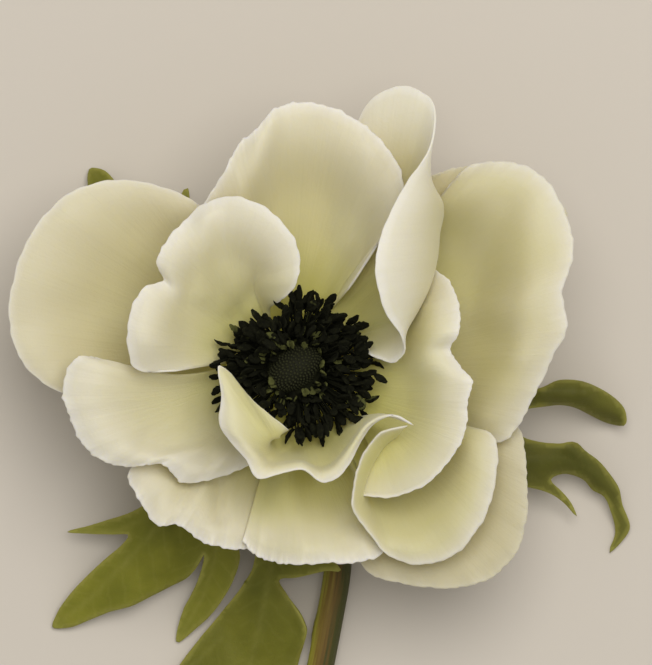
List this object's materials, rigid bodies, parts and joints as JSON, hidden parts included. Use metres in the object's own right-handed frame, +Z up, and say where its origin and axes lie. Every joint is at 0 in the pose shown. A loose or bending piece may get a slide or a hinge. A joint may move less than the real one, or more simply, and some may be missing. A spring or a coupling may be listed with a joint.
{
  "type": "anemone flower",
  "caption": "Cut anemone flower lying on a table: a white ruffled bloom facing up with a near-black centre of stamens, a ruff of divided green leaves below it and a long bare green-brown stem.",
  "frame": {"origin": "middle of the lying flower's footprint, on the table it rests on", "axes": "+Y runs along the stem from its cut end towards the bloom, +Z is up out of the table and is the way the bloom faces, +X is to the right of the bloom seen from above with the stem towards the viewer"},
  "size_m": [0.1, 0.2414, 0.0446],
  "materials": {
    "petal": "satin",
    "leaf": "satin",
    "stem": "satin",
    "receptacle": "matte",
    "pistil": "matte",
    "anther": "matte"
  },
  "bodies": {
    "root": {"stem": "stem", "receptacle": "receptacle", "pistil_cushion": "pistil", "petal_left_outer": "petal", "petal_left_inner": "petal", "petal_left_lower": "petal", "petal_top": "petal", "petal_upper_right": "petal", "petal_right_back": "petal", "petal_right": "petal", "petal_right_inner": "petal", "petal_lower_right": "petal", "petal_lower_right_outer": "petal", "petal_bottom": "petal", "petal_bottom_left": "petal", "petal_front_inner": "petal", "leaf_lower_left": "leaf", "leaf_bottom": "leaf", "leaf_right": "leaf", "leaf_upper_left": "leaf", "stamen_01": "anther", "stamen_02": "anther", "stamen_03": "anther", "stamen_04": "anther", "stamen_05": "anther", "stamen_06": "anther", "stamen_07": "anther", "stamen_08": "anther", "stamen_09": "anther", "stamen_10": "anther", "stamen_11": "anther", "stamen_12": "anther", "stamen_13": "anther", "stamen_14": "anther", "stamen_15": "anther", "stamen_16": "anther", "stamen_17": "anther", "stamen_18": "anther", "stamen_19": "anther", "stamen_20": "anther", "stamen_21": "anther", "stamen_22": "anther", "stamen_23": "anther", "stamen_24": "anther", "stamen_25": "anther", "stamen_26": "anther", "stamen_27": "anther", "stamen_28": "anther", "stamen_29": "anther", "stamen_30": "anther", "stamen_31": "anther", "stamen_32": "anther"}
  },
  "joints": []
}
